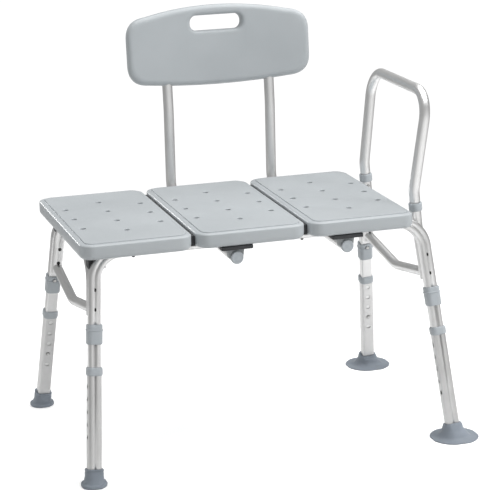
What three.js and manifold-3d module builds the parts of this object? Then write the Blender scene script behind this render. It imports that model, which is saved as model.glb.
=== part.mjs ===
// Bath transfer bench: a slatted shower seat on two leaning U-frames with telescopic legs,
// a plug-in backrest and a plug-in arm rail.
// Millimetres, +X to the bench's right seen from the front, +Y to the back, +Z up.
// The origin is on the floor, in the middle of the bench's box.

import * as THREE from 'three';
import { mergeVertices } from 'three/addons/utils/BufferGeometryUtils.js';
import Module from 'manifold-3d';

// ---- Driving dimensions ----

const GAP = 0.3;                  // clearance between pieces that touch

const SEAT_TOP = 481;             // seat surface above the floor
const PANEL = { pitch: 236, width: 227, depth: 432, thick: 32, corner: 28, edge: 7 };
const PANEL_ROW_X = -32;          // middle of the seat row, left of the frame's middle
const TIGHT_CORNER = 16;          // the right panel's front right corner
const SHOULDER = { width: 10, from: -2.6, to: -0.8 };   // slope from a panel's side to its groove
const FIELD_GROOVE = { from: 9.8, to: 11.5, bottom: -2 };   // round the flat seat field
const PANEL_WALL = 3.2;           // blow-moulded wall
const PANEL_ROOF = 4.8;           // wall below the seat field and its groove
const OUTER_SIDE = 19;            // side of the left panel that the rails stop short of
const SIDE_RELIEF = { length: 372, deep: 2.2, high: 5 };   // undercut along a panel's sides
const DRAIN = { diameter: 11.5, columnX: 80, rowY: 82, post: 16 };
const VENT_DIAMETER = 8;          // blow hole in the underside
const JOINER = { depth: 376, top: -9, bottom: -30 };   // dark strip between two panels

const FOOT = { x: 386.1, y: 253.9, z: 1 };   // where a leg's axis meets the foot
const LEAN = { x: 0.0895, y: 0.197 };        // sideways run of a leg per unit of height
const COLUMN = { lobe: 6.8, lobeX: 5.45, lobeY: 4.2, bore: 5.6 };  // twin-lobe tube section
const LOWER = { lobe: 8.35, bore: 7.15 };    // the same section, larger: slides over the column
const RAIL_BELOW_SEAT = 30.5;      // U-frame rail axis below the seat surface
const FRAME_BEND = 57;            // U-frame bend radius

// Heights along a leg, measured from the foot along its axis
const LEG = {
  lowerEnd: 12, lowerTop: 231, innerEnd: 102, innerTop: 299, frameEnd: 300.5,
  ringFrom: 218, ringTo: 235.5, couplerFrom: 280.5, couplerTo: 320, sideTubeEnd: 336,
};
const HOLE = { pitch: 25.4, count: 5, diameter: 8.6, first: 208.5, sideFirst: 197.5 };
const HEIGHT_STEP_IN_USE = 3;     // holes above the one in use
const BUTTON = { diameter: 7.4, flange: 10, proud: 3.2, tang: 24, shortTang: 11 };
const COUPLER_BUTTON_AT = 312;

const SIDE_TUBE = { diameter: 22.2, wall: 1.4 };
const SIDE_TUBE_OFFSET = 22.7;    // its axis inward of the leg's axis
const LEFT_RAIL_BEND = 70;
const SOCKET_Y = 144.5;           // arm sockets, front and back of the middle
const SOCKET_BEND = 100;
const SOCKET_TOP = SEAT_TOP - 3;
const BRACE = { diameter: 20, wall: 1.3, endDrop: 143, middleDrop: 171, bend: 90 };

const CORNER_BLOCK = { width: 34, depth: 26, height: 30, inward: 14 };

const ARM = {
  diameter: 22.2, wall: 1.4, spigot: 18.4, spigotBottom: SEAT_TOP - 38, shoulder: SEAT_TOP + 5,
  knee: SEAT_TOP + 29, topX: 366, topY: 157, topZ: SEAT_TOP + 232, kneeBend: 60, topBend: 55,
};
const ARM_BUTTON_Z = SEAT_TOP - 24;
const ARM_COLLAR = { diameter: 28, below: 11, above: 6 };

const CROSS_TUBE = { x: [-65, 169], diameter: 25.4, wall: 1.2, front: -206, back: 208, drop: 57.3 };
const BRACKET = {
  end: 214, length: 32, halfPlate: 33, plate: 7.5,
  neckEnd: 205, neckLength: 20, halfNeck: 17, halfFoot: 14.6,
};
const RIVET = { diameter: 7.4, along: [388, 349], tailAlong: [395, 363], proud: 1.6 };
const RAIL_SCREW = { diameter: 6.5, x: [-268, 85], length: 2.6 };
const POST = {
  diameter: 22.2, wall: 1.4, front: 96, y: 286, lowBend: 58, leanFrom: SEAT_TOP + 150,
  leanBend: 120, length: 165, buttonY: 176,
};
const BACK = {
  lean: 5, halfWidth: 208, thick: 30, radius: 900, wall: 3.2, bottom: 51, corner: 46,
  bottomCrown: 9, topCrown: 18, height: 176, slotWidth: 118, slotHeight: 33, slotUp: 137,
};

// ---- Materials ----

const plain = (color, roughness, metalness = 0) =>
  new THREE.MeshStandardMaterial({ color, roughness, metalness });

const MATERIAL = {
  seat: plain(0xb9c3d2, 0.55),
  collar: plain(0x7f8797, 0.6),
  rubber: plain(0x8f96a4, 0.75),
  aluminium: plain(0xc9ccd2, 0.32, 1),
  bracket: plain(0x4a4f58, 0.6),
  spring: plain(0xb8bcc2, 0.3, 1),
};

// ---- Solids ----

const wasm = await Module();
wasm.setup();

function solid(geometry) {
  const bare = new THREE.BufferGeometry();
  bare.setAttribute('position', geometry.getAttribute('position').clone());
  if (geometry.index) bare.setIndex(geometry.index.clone());
  const merged = mergeVertices(bare, 1e-4);
  return new wasm.Manifold(new wasm.Mesh({
    numProp: 3,
    vertProperties: new Float32Array(merged.getAttribute('position').array),
    triVerts: new Uint32Array(merged.index.array),
  }));
}

function surface(body) {
  const mesh = body.getMesh();
  const geometry = new THREE.BufferGeometry();
  geometry.setAttribute('position', new THREE.BufferAttribute(mesh.vertProperties, 3));
  geometry.setIndex(new THREE.BufferAttribute(mesh.triVerts, 1));
  geometry.computeVertexNormals();
  return geometry;
}

const cut = (body, ...tools) => tools.reduce((rest, tool) => rest.subtract(tool), body);
const join = (body, ...others) => others.reduce((sum, other) => sum.add(other), body);

function box(sizeX, sizeY, sizeZ, x, y, z) {
  return solid(new THREE.BoxGeometry(sizeX, sizeY, sizeZ).translate(x, y, z));
}

// A round bar of a given diameter between two points
function bar(diameter, from, to, sides = 10) {
  const run = new THREE.Vector3().subVectors(to, from);
  const geometry = new THREE.CylinderGeometry(diameter / 2, diameter / 2, run.length(), sides);
  const turn = new THREE.Quaternion().setFromUnitVectors(
    new THREE.Vector3(0, 1, 0), run.clone().normalize());
  geometry.applyQuaternion(turn);
  geometry.translate(...from.clone().add(to).multiplyScalar(0.5).toArray());
  return solid(geometry);
}

const at = (x, y, z) => new THREE.Vector3(x, y, z);

// A turned piece about Z; the profile runs [radius, height] from the axis to the axis
function turned(profile, sides) {
  const points = profile.map(([radius, height]) => new THREE.Vector2(radius, height));
  return solid(new THREE.LatheGeometry(points, sides).rotateX(Math.PI / 2));
}

// ---- Sections ----

function arc(x, y, radius, from, to, steps) {
  return Array.from({ length: steps + 1 }, (_, i) => {
    const angle = from + (to - from) * i / steps;
    return new THREE.Vector2(x + radius * Math.cos(angle), y + radius * Math.sin(angle));
  });
}

// The twin-lobe outline: two round lobes with a groove between them on the -Y face,
// a flat face with rounded corners on +Y. It goes anticlockwise from the groove.
function columnOutline(lobe, lobeSteps = 4, cornerSteps = 2) {
  const { lobeX, lobeY } = COLUMN;
  const groove = Math.acos(lobeX / lobe);
  const corner = lobe - 2.8;
  const right = [
    ...arc(lobeX, -lobeY, lobe, -Math.PI + groove, 0, lobeSteps),
    ...arc(lobeX + lobe - corner, lobeY + lobe - corner, corner, 0, Math.PI / 2, cornerSteps),
  ];
  const left = right.slice(1).reverse().map((point) => new THREE.Vector2(-point.x, point.y));
  return [...right, ...left];
}

function hollow(outline, bore) {
  const shape = new THREE.Shape(outline);
  if (bore) shape.holes.push(new THREE.Path(bore));
  return shape;
}

const columnShape = (lobe, bore) => hollow(columnOutline(lobe), bore && columnOutline(bore));

const circle = (diameter, sides) =>
  arc(0, 0, diameter / 2, 0, 2 * Math.PI, sides).slice(0, -1);

const pipe = (diameter, wall, sides = 12) =>
  hollow(circle(diameter, sides), circle(diameter - 2 * wall, sides));

function roundedRect(width, depth, radius, frontRight = radius) {
  const x = width / 2 - radius;
  const y = depth / 2 - radius;
  const shape = new THREE.Shape();
  shape.absarc(width / 2 - frontRight, frontRight - depth / 2, frontRight, -Math.PI / 2, 0);
  shape.absarc(x, y, radius, 0, Math.PI / 2);
  shape.absarc(-x, y, radius, Math.PI / 2, Math.PI);
  shape.absarc(-x, -y, radius, Math.PI, Math.PI * 1.5);
  return shape;
}

// A straight prism of a shape from one height to another
function prism(shape, from, to, curveSegments = 1) {
  const options = { depth: to - from, bevelEnabled: false, curveSegments };
  return solid(new THREE.ExtrudeGeometry(shape, options).translate(0, 0, from));
}

// ---- Bent tubes ----

// A run of straight lengths joined by round bends. The section's Y stays on the
// reference direction's side, square to the run.
class BentRun extends THREE.Curve {
  constructor(corners, radius, reference, bendSteps = 4) {
    super();
    this.reference = reference;
    this.stations = [];
    const legs = corners.slice(1).map((end, i) => end.clone().sub(corners[i]).normalize());
    this.stations.push({ point: corners[0], tangent: legs[0] });
    for (let i = 1; i < corners.length - 1; i += 1) {
      const size = Array.isArray(radius) ? radius[i - 1] : radius;
      this.bend(corners[i], legs[i - 1], legs[i], size, bendSteps);
    }
    this.stations.push({ point: corners.at(-1), tangent: legs.at(-1) });
  }

  bend(corner, before, after, radius, steps) {
    const angle = before.angleTo(after);
    const start = corner.clone().addScaledVector(before, -radius * Math.tan(angle / 2));
    const inward = after.clone().addScaledVector(before, -before.dot(after)).normalize();
    const count = Math.max(2, Math.ceil(steps * angle / (Math.PI / 2)));
    for (let i = 0; i <= count; i += 1) {
      const turn = angle * i / count;
      this.stations.push({
        point: start.clone().addScaledVector(before, radius * Math.sin(turn))
          .addScaledVector(inward, radius * (1 - Math.cos(turn))),
        tangent: before.clone().multiplyScalar(Math.cos(turn))
          .addScaledVector(inward, Math.sin(turn)),
      });
    }
  }

  getSpacedPoints() {
    return this.stations.map((station) => station.point);
  }

  computeFrenetFrames() {
    const tangents = this.stations.map((station) => station.tangent);
    const binormals = tangents.map((tangent) => this.reference.clone()
      .addScaledVector(tangent, -this.reference.dot(tangent)).normalize());
    const normals = tangents.map((tangent, i) => binormals[i].clone().cross(tangent));
    return { tangents, normals, binormals };
  }
}

function sweep(shape, run) {
  const options = { steps: run.stations.length - 1, extrudePath: run };
  return solid(new THREE.ExtrudeGeometry(shape, options));
}

// ---- Leg geometry ----

// The legs are worked out for the front pair; the back pair is the front pair turned
// half a turn about Z. A leg's own axes: Z up the leg, -Y its grooved outer face.
const ACROSS = at(0, 1, -LEAN.y).normalize();

function legAxes(side) {
  const up = at(-side * LEAN.x, LEAN.y, 1).normalize();
  const basis = new THREE.Matrix4().makeBasis(ACROSS.clone().cross(up), ACROSS, up);
  return basis.setPosition(side * FOOT.x, -FOOT.y, FOOT.z);
}

const legPoint = (side, along, inward = 0) => at(0, inward, along).applyMatrix4(legAxes(side));

// Distance along a leg of the point at a given height
function alongAt(height, inward = 0) {
  const base = legPoint(1, 0, inward).z;
  return (height - base) / (legPoint(1, 1, inward).z - base);
}

const mirrorY = (point) => at(point.x, -point.y, point.z);
const mirrored = (body) => body.scale([1, -1, 1]);   // front to back

// ---- Tree ----

const bench = new THREE.Group();
const frontEnd = new THREE.Group();
const backEnd = new THREE.Group();
backEnd.rotation.z = Math.PI;
bench.add(frontEnd, backEnd);

function node(name, body, material, parent = bench) {
  const mesh = new THREE.Mesh(surface(body), material);
  mesh.name = name;
  parent.add(mesh);
  return mesh;
}

// ---- Legs and U-frames ----

const holeAt = (along) => bar(HOLE.diameter, at(0, 6, along), at(0, 24, along), 8);
const sideHoleAt = (along) => bar(HOLE.diameter, at(-6, 0, along), at(-24, 0, along), 8);
const heightButtonAt = HOLE.first - HEIGHT_STEP_IN_USE * HOLE.pitch;

// A snap clip: a domed button on a flange, with a spring tang below it. The button
// points along +Y, and its flange's outer face is at `flangeAt`.
function snapClip(flangeAt, tip, tang = BUTTON.tang) {
  const flangeBack = flangeAt - 1.2;
  const button = turned([
    [0, flangeBack], [BUTTON.flange / 2, flangeBack], [BUTTON.flange / 2, flangeAt],
    [BUTTON.diameter / 2, flangeAt], [BUTTON.diameter / 2, tip - 1.2], [0, tip],
  ], 8).rotate([-90, 0, 0]);
  return join(button, box(6, 0.9, tang, 0, flangeBack + 0.6, -tang / 2));
}

// The deepest a flange reaches out inside a round bore
const flangeInBore = (radius) => Math.sqrt((0.97 * radius) ** 2 - (BUTTON.flange / 2) ** 2) - GAP;

const railHeight = SEAT_TOP - RAIL_BELOW_SEAT;
const railY = -legPoint(1, alongAt(railHeight)).y;

function frameRun() {
  const corners = [-1, 1].map((side) => legPoint(side, alongAt(railHeight)));
  return new BentRun(
    [legPoint(-1, LEG.frameEnd), ...corners, legPoint(1, LEG.frameEnd)], FRAME_BEND, ACROSS, 5);
}

// A rivet head in the groove of a leg, and the tail that it has inside a side tube
const rivetHead = (side, along) => bar(RIVET.diameter,
  legPoint(side, along, -COLUMN.lobeY - COLUMN.lobe + RIVET.proud),
  legPoint(side, along, -COLUMN.lobeY - COLUMN.lobe - RIVET.proud), 8);
const rivetTail = (side, along) => bar(RIVET.diameter,
  legPoint(side, along, SIDE_TUBE_OFFSET + SIDE_TUBE.diameter / 2 - RIVET.proud),
  legPoint(side, along, SIDE_TUBE_OFFSET + SIDE_TUBE.diameter / 2 + RIVET.proud), 8);

function frameEnd() {
  const run = frameRun();
  const holes = [-1, 1].map((side) => holeAt(COUPLER_BUTTON_AT).transform(legAxes(side).elements));
  const rivets = [-1, 1].flatMap((side) => RIVET.along.map((along) => rivetHead(side, along)));
  const railBottom = railHeight - COLUMN.lobe - COLUMN.lobeX;
  const screws = RAIL_SCREW.x.map((x) => bar(RAIL_SCREW.diameter,
    at(x, -railY - 4, railBottom + 3), at(x, -railY - 4, railBottom - RAIL_SCREW.length), 8));
  const tube = sweep(columnShape(COLUMN.lobe, COLUMN.bore), run);
  return cut(join(tube, ...rivets, ...screws), ...holes);
}

function innerTube() {
  const tube = prism(columnShape(COLUMN.lobe, COLUMN.bore), LEG.innerEnd, LEG.innerTop);
  return cut(tube, holeAt(heightButtonAt));
}

function lowerLeg() {
  const tube = prism(columnShape(LOWER.lobe, LOWER.bore), LEG.lowerEnd, LEG.lowerTop);
  const steps = Array.from({ length: HOLE.count }, (_, i) => i * HOLE.pitch);
  return cut(tube, ...steps.map((step) => holeAt(HOLE.first - step)),
    ...steps.map((step) => sideHoleAt(HOLE.sideFirst - step)));
}

function ringCollar() {
  const outside = prism(roundedRect(32, 29.5, 10), LEG.ringFrom, LEG.ringTo, 1);
  return cut(outside,
    prism(columnShape(COLUMN.lobe + GAP), LEG.ringFrom - 1, LEG.ringTo + 1),
    prism(columnShape(LOWER.lobe + GAP), LEG.ringFrom - 1, LEG.lowerTop + GAP));
}

function coupler() {
  const rimHeight = LEG.couplerTo - 11;
  const outside = join(
    prism(roundedRect(31, 29, 9.5), LEG.couplerFrom, LEG.couplerTo, 1),
    prism(roundedRect(33, 31, 10.5), rimHeight, rimHeight + 2.5, 1));
  return cut(outside, holeAt(COUPLER_BUTTON_AT),
    prism(columnShape(COLUMN.lobe + GAP), LEG.couplerFrom - 1, LEG.couplerTo + 1));
}

// A foot is turned about a vertical axis and has a neck that follows the leg
function foot(profile, neckSize, neckTo, side) {
  const axes = legAxes(side);
  const centre = at(axes.elements[12], axes.elements[13], 0);
  const neck = prism(roundedRect(neckSize, neckSize - 2, 12), 6, neckTo, 1)
    .transform(axes.elements);
  const base = turned(profile, 20).translate(centre.toArray());
  const below = box(300, 300, 20, centre.x, centre.y, -10);
  const bore = prism(columnShape(LOWER.lobe + GAP), LEG.lowerEnd - GAP, neckTo + 1)
    .transform(axes.elements);
  return cut(join(base, neck), bore, below);
}

const tipProfile = [
  [0, 0], [25, 0], [26.5, 2], [26.5, 7], [25, 9], [21.5, 9.5], [18, 22], [0, 22],
];

const cupProfile = [
  [0, 4], [40, 1.5], [46, 0], [51, 0], [51, 2.2], [45, 4], [31, 6.5], [24, 12], [20, 22], [0, 22],
];

function addLeg(end, endName, side, sideName) {
  const placed = new THREE.Group();
  legAxes(side).decompose(placed.position, placed.quaternion, placed.scale);
  end.add(placed);
  const prefix = `${endName}_${sideName}`;
  const columnFace = COLUMN.lobeY + COLUMN.bore - GAP;
  const lowerFace = LOWER.lobe + COLUMN.lobeY;
  const couplerFace = 29 / 2;
  const heightClip = snapClip(columnFace, lowerFace + BUTTON.proud)
    .translate([0, 0, heightButtonAt]);
  const couplerClip = snapClip(columnFace, couplerFace + BUTTON.proud)
    .rotate([0, 180, 0]).translate([0, 0, COUPLER_BUTTON_AT]);
  node(`${prefix}_inner_tube`, innerTube(), MATERIAL.aluminium, placed);
  node(`${prefix}_lower_leg`, lowerLeg(), MATERIAL.aluminium, placed);
  node(`${prefix}_ring_collar`, ringCollar(), MATERIAL.collar, placed);
  node(`${prefix}_coupler`, coupler(), MATERIAL.collar, placed);
  node(`${prefix}_height_button`, heightClip, MATERIAL.spring, placed);
  node(`${prefix}_leg_button`, couplerClip, MATERIAL.spring, placed);
  if (sideName === 'right') {
    node(`${prefix}_suction_cup`, foot(cupProfile, 35, 29, side), MATERIAL.rubber, end);
  } else {
    node(`${prefix}_rubber_tip`, foot(tipProfile, 34, 33, side), MATERIAL.rubber, end);
  }
}

for (const [end, endName, facing] of [[frontEnd, 'front', 1], [backEnd, 'rear', -1]]) {
  node(`${endName}_frame`, frameEnd(), MATERIAL.aluminium, end);
  addLeg(end, endName, -facing, 'left');
  addLeg(end, endName, facing, 'right');
}

// ---- Side tubes and braces ----

const sideTubeShape = pipe(SIDE_TUBE.diameter, SIDE_TUBE.wall);

function sideLine(side, height) {
  return legPoint(side, alongAt(height, SIDE_TUBE_OFFSET), SIDE_TUBE_OFFSET);
}

function leftRail(shape = sideTubeShape) {
  const end = legPoint(-1, LEG.sideTubeEnd, SIDE_TUBE_OFFSET);
  const top = SEAT_TOP - PANEL.thick - GAP - SIDE_TUBE.diameter / 2;
  const corner = sideLine(-1, top);
  const run = new BentRun(
    [end, corner, mirrorY(corner), mirrorY(end)], LEFT_RAIL_BEND, at(1, 0, LEAN.x), 5);
  return sweep(shape, run);
}

function rivetedLeftRail() {
  const tails = RIVET.tailAlong.map((along) => rivetTail(-1, along));
  return join(leftRail(), ...tails, ...tails.map(mirrored));
}

// A wedge that fills the corner between the seat, the frame's bend and the side rail
function cornerBlock() {
  const corner = legPoint(-1, alongAt(SEAT_TOP - PANEL.thick));
  const { width, depth, height, inward } = CORNER_BLOCK;
  const top = SEAT_TOP - PANEL.thick - GAP;
  const blank = box(width, depth, height,
    corner.x + width / 2 - 12, corner.y + inward, top - height / 2);
  const nearby = [
    sweep(new THREE.Shape(columnOutline(COLUMN.lobe + GAP)), frameRun()),
    leftRail(new THREE.Shape(circle(SIDE_TUBE.diameter + 3 * GAP, 12))),
  ];
  return cut(blank, ...nearby).decompose()
    .sort((a, b) => a.boundingBox().min[0] - b.boundingBox().min[0])[0];
}

// The arm sockets leave the leg's line where it reaches SOCKET_Y, and go on upright
const sideStart = sideLine(1, FOOT.z);
const socketKnee = sideStart.clone()
  .addScaledVector(at(-LEAN.x, LEAN.y, 1), (-SOCKET_Y - sideStart.y) / LEAN.y);
const socketX = (height) => socketKnee.x - LEAN.x * (height - socketKnee.z);
const socketPoint = (height) => at(socketX(height), -SOCKET_Y, height);

function frontSocket() {
  const corners = [
    legPoint(1, LEG.sideTubeEnd, SIDE_TUBE_OFFSET), socketKnee,
    socketPoint(SOCKET_TOP)];
  const tube = sweep(sideTubeShape, new BentRun(corners, SOCKET_BEND, at(1, 0, LEAN.x)));
  const button = socketPoint(ARM_BUTTON_Z);
  return cut(join(tube, ...RIVET.tailAlong.map((along) => rivetTail(1, along))),
    bar(HOLE.diameter, button, button.clone().add(at(0, 20, 0)), 8));
}

function brace(side) {
  const high = sideLine(side, SEAT_TOP - BRACE.endDrop);
  const low = at(sideLine(side, SEAT_TOP - BRACE.middleDrop).x, 0, SEAT_TOP - BRACE.middleDrop);
  const run = new BentRun([high, low, mirrorY(high)], BRACE.bend, at(1, 0, 0));
  const tubes = [1, -1].map((turn) => {
    const from = legPoint(side, LEG.sideTubeEnd - 40, SIDE_TUBE_OFFSET);
    const to = sideLine(side, SEAT_TOP - 60);
    from.y *= turn;
    to.y *= turn;
    return bar(SIDE_TUBE.diameter + 2 * GAP, from, to, 20);
  });
  return cut(sweep(pipe(BRACE.diameter, BRACE.wall, 12), run), ...tubes)
    .decompose().sort((a, b) => b.volume() - a.volume())[0];
}

node('left_side_rail', rivetedLeftRail(), MATERIAL.aluminium);
node('front_corner_block', cornerBlock(), MATERIAL.bracket);
node('rear_corner_block', mirrored(cornerBlock()), MATERIAL.bracket);
node('front_arm_socket', frontSocket(), MATERIAL.aluminium);
node('rear_arm_socket', mirrored(frontSocket()), MATERIAL.aluminium);
node('left_brace', brace(-1), MATERIAL.aluminium);
node('right_brace', brace(1), MATERIAL.aluminium);

// ---- Seat ----

const channelRoof = -RAIL_BELOW_SEAT + COLUMN.lobe + COLUMN.lobeX + 5 * GAP;
const channelWidth = 2 * (COLUMN.lobe + COLUMN.lobeY) + 4;

// The rails run out of a panel's right side, and out of its left side where `openLeft` says so
function seatPanel(openLeft, frontRight = PANEL.corner) {
  const { width, depth, thick, corner, edge } = PANEL;
  const outline = (inset) =>
    roundedRect(width - 2 * inset, depth - 2 * inset, corner - inset, frontRight - inset);
  const layer = (inset, from, to) => prism(outline(inset), from, to, 2);
  // A plate between two heights whose rim is bevelled above and below
  const bevelled = (inset, rise, from, to, bevelSegments) => solid(new THREE.ExtrudeGeometry(
    outline(0), {
      depth: to - from - 2 * rise, bevelSize: inset, bevelThickness: rise, bevelOffset: -inset,
      bevelSegments, curveSegments: 2,
    }).translate(0, 0, from + rise));
  const slope = SHOULDER.to - SHOULDER.from;
  const slab = join(
    bevelled(edge, edge, -thick, 2.5 * edge - thick, 2),
    layer(0, edge - thick, SHOULDER.from),
    bevelled(SHOULDER.width, slope, 2 * SHOULDER.from, SHOULDER.to, 1),
    layer(FIELD_GROOVE.to, 2 * SHOULDER.from, 0));
  const groove = cut(layer(FIELD_GROOVE.from, FIELD_GROOVE.bottom, 1),
    layer(FIELD_GROOVE.to, FIELD_GROOVE.bottom - 1, 2));
  const from = -width / 2 + (openLeft ? -1 : OUTER_SIDE);
  const to = width / 2 + 1;
  const channel = (y, spare, roof) => box(
    to - from + 2 * spare, channelWidth + 2 * spare, roof + 60, (from + to) / 2, y, (roof - 60) / 2);
  const relief = (facing) => box(2 * SIDE_RELIEF.deep, SIDE_RELIEF.length, 2 * SIDE_RELIEF.high,
    facing * width / 2, 0, -thick);
  const inset = 2 * PANEL_WALL + 1;
  const drains = [
    ...[-1, 1].flatMap((x) => [-1, 0, 1].map((y) => [x * DRAIN.columnX, y * DRAIN.rowY])),
    ...[-1.5, -0.5, 0.5, 1.5].map((y) => [0, y * DRAIN.rowY]),
  ];
  const upright = (diameter, x, y, from = -60, to = 10) =>
    bar(diameter, at(x, y, from), at(x, y, to), 6);
  const cavity = cut(
    layer(inset / 2, PANEL_WALL - thick, -PANEL_ROOF),
    ...[-railY, railY].map((y) => channel(y, PANEL_WALL, channelRoof + PANEL_WALL)),
    ...drains.map(([x, y]) => upright(DRAIN.post, x, y)));
  return cut(slab, groove, cavity,
    ...[-railY, railY].map((y) => channel(y, 0, channelRoof)),
    ...drains.map(([x, y]) => upright(DRAIN.diameter, x, y)),
    relief(-1), relief(1), upright(VENT_DIAMETER, 40, 41, -60, -20));
}

['left', 'centre', 'right'].forEach((name, i) => {
  const shape = seatPanel(i > 0, i === 2 ? TIGHT_CORNER : PANEL.corner);
  const panel = node(`seat_panel_${name}`, shape, MATERIAL.seat);
  panel.position.set(PANEL_ROW_X + (i - 1) * PANEL.pitch, 0, SEAT_TOP);
});

// Fills the gap between two panels, with notches where the rails pass below
function joiner() {
  const { depth, top, bottom } = JOINER;
  const width = PANEL.pitch - PANEL.width - 2 * GAP;
  return cut(box(width, depth, top - bottom, 0, 0, (top + bottom) / 2),
    ...[-railY, railY].map((y) => box(2 * width, channelWidth, 60, 0, y, channelRoof - 30)));
}

['left', 'right'].forEach((name, i) => {
  node(`${name}_panel_joiner`, joiner(), MATERIAL.bracket)
    .position.set(PANEL_ROW_X + (i - 0.5) * PANEL.pitch, 0, SEAT_TOP);
});

// ---- Cross tubes, brackets and caps ----

const crossZ = SEAT_TOP - CROSS_TUBE.drop;

function crossTube(x) {
  const { diameter, wall, front, back } = CROSS_TUBE;
  const run = new BentRun([at(x, front, crossZ), at(x, back, crossZ)], 0, at(0, 0, 1));
  const tube = sweep(pipe(diameter, wall, 16), run);
  return cut(tube, bar(HOLE.diameter, at(x, POST.buttonY, crossZ),
    at(x, POST.buttonY, crossZ - 20), 8));
}

// A saddle bracket: a flat plate under the seat on a tapered body that sits on the tube
function bracket(x, facing) {
  const plateTop = SEAT_TOP - PANEL.thick - GAP;
  const { end, length, halfPlate, plate, neckEnd, neckLength, halfNeck, halfFoot } = BRACKET;
  const slab = box(2 * halfPlate, length, plate,
    x, facing * (end - length / 2), plateTop - plate / 2);
  const outline = [
    [-halfNeck, plateTop - 1], [-halfNeck, plateTop - plate], [-halfFoot, crossZ - 2],
    [halfFoot, crossZ - 2], [halfNeck, plateTop - plate], [halfNeck, plateTop - 1]];
  const shape = new THREE.Shape(outline.map(([u, v]) => new THREE.Vector2(u, v)));
  const neck = solid(new THREE.ExtrudeGeometry(shape, { depth: neckLength, bevelEnabled: false })
    .rotateX(Math.PI / 2)
    .translate(x, facing * (neckEnd - neckLength / 2) + neckLength / 2, 0));
  const tube = bar(CROSS_TUBE.diameter + 2 * GAP, at(x, -230, crossZ), at(x, 230, crossZ), 16);
  return cut(join(slab, neck), tube);
}

function frontCap(x) {
  const bore = CROSS_TUBE.diameter - 2 * CROSS_TUBE.wall - 2 * GAP;
  return turned([
    [0, -14], [bore / 2, -14], [bore / 2, GAP], [CROSS_TUBE.diameter / 2 + 0.4, GAP],
    [CROSS_TUBE.diameter / 2 + 0.4, 3], [CROSS_TUBE.diameter / 2 - 2.5, 5.5], [0, 6.5],
  ], 16).rotate([90, 0, 0]).translate([x, CROSS_TUBE.front, crossZ]);
}

['left', 'right'].forEach((name, i) => {
  const x = CROSS_TUBE.x[i];
  node(`${name}_cross_tube`, crossTube(x), MATERIAL.aluminium);
  node(`${name}_front_bracket`, bracket(x, -1), MATERIAL.bracket);
  node(`${name}_rear_bracket`, bracket(x, 1), MATERIAL.bracket);
  node(`${name}_front_cap`, frontCap(x), MATERIAL.collar);
});

// ---- Backrest ----

const leanAngle = THREE.MathUtils.degToRad(BACK.lean);
const leanUp = at(0, Math.sin(leanAngle), Math.cos(leanAngle));

function backrestPost(x) {
  const knee = at(x, POST.y, POST.leanFrom);
  const corners = [
    at(x, POST.front, crossZ), at(x, POST.y, crossZ), knee,
    knee.clone().addScaledVector(leanUp, POST.length)];
  const run = new BentRun(corners, [POST.lowBend, POST.leanBend], at(1, 0, 0));
  const tube = sweep(pipe(POST.diameter, POST.wall), run);
  return cut(tube, bar(HOLE.diameter, at(x, POST.buttonY, crossZ),
    at(x, POST.buttonY, crossZ - 20), 8));
}

// The backrest's outline in its own plane, height counted from the posts' knee
function backOutline(inset) {
  const { halfWidth, bottom, corner, bottomCrown, topCrown, height } = BACK;
  const x = halfWidth - inset;
  const low = bottom + inset;
  const high = bottom + height - inset;
  const shape = new THREE.Shape();
  shape.moveTo(-x + corner, low + bottomCrown);
  shape.quadraticCurveTo(0, low - bottomCrown, x - corner, low + bottomCrown);
  shape.quadraticCurveTo(x, low + bottomCrown + 2, x, low + bottomCrown + corner);
  shape.lineTo(x, high - topCrown - corner);
  shape.quadraticCurveTo(x, high - topCrown - 4, x - corner, high - topCrown);
  shape.quadraticCurveTo(0, high + topCrown, -x + corner, high - topCrown);
  shape.quadraticCurveTo(-x, high - topCrown - 4, -x, high - topCrown - corner);
  shape.lineTo(-x, low + bottomCrown + corner);
  shape.quadraticCurveTo(-x, low + bottomCrown + 2, -x + corner, low + bottomCrown);
  return shape;
}

// An upright slab bent round the sitter's back, level with the posts where they stand
function backSlab(thick, half) {
  const postX = (CROSS_TUBE.x[1] - CROSS_TUBE.x[0]) / 2;
  const steps = 12;
  const curve = Array.from({ length: steps + 1 }, (_, i) => {
    const x = half * (2 * i / steps - 1);
    return [x, (postX ** 2 - x ** 2) / (2 * BACK.radius)];
  });
  const outline = [
    ...curve.map(([x, y]) => new THREE.Vector2(x, y - thick / 2)),
    ...curve.reverse().map(([x, y]) => new THREE.Vector2(x, y + thick / 2))];
  return prism(new THREE.Shape(outline), 0, 300);
}

function backrestPanel() {
  const { thick, wall, slotWidth, slotHeight, slotUp, halfWidth } = BACK;
  const facing = (shape, segments = 6) => solid(
    new THREE.ExtrudeGeometry(shape, { depth: 90, bevelEnabled: false, curveSegments: segments })
      .rotateX(Math.PI / 2).translate(0, 45, 0));
  const slot = (extra) => facing(
    roundedRect(slotWidth + extra, slotHeight + extra, 10 + extra / 2), 2)
    .translate([0, 0, BACK.bottom + slotUp]);
  const postX = (CROSS_TUBE.x[1] - CROSS_TUBE.x[0]) / 2;
  const posts = (diameter, to) => [-postX, postX].map((x) =>
    bar(diameter, at(x, 0, -20), at(x, 0, to), 14));
  const cavity = cut(
    backSlab(thick - 2 * wall, halfWidth + 20).intersect(facing(backOutline(wall + 1))),
    slot(2 * wall), ...posts(POST.diameter + 2 * GAP + 2 * wall, POST.length + 6));
  const vent = bar(VENT_DIAMETER, at(0, 0, BACK.bottom + 30), at(0, 40, BACK.bottom + 30), 8);
  return cut(backSlab(thick, halfWidth + 20).intersect(facing(backOutline(0))),
    cavity, slot(0), vent, ...posts(POST.diameter + 2 * GAP, POST.length + GAP));
}

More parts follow.
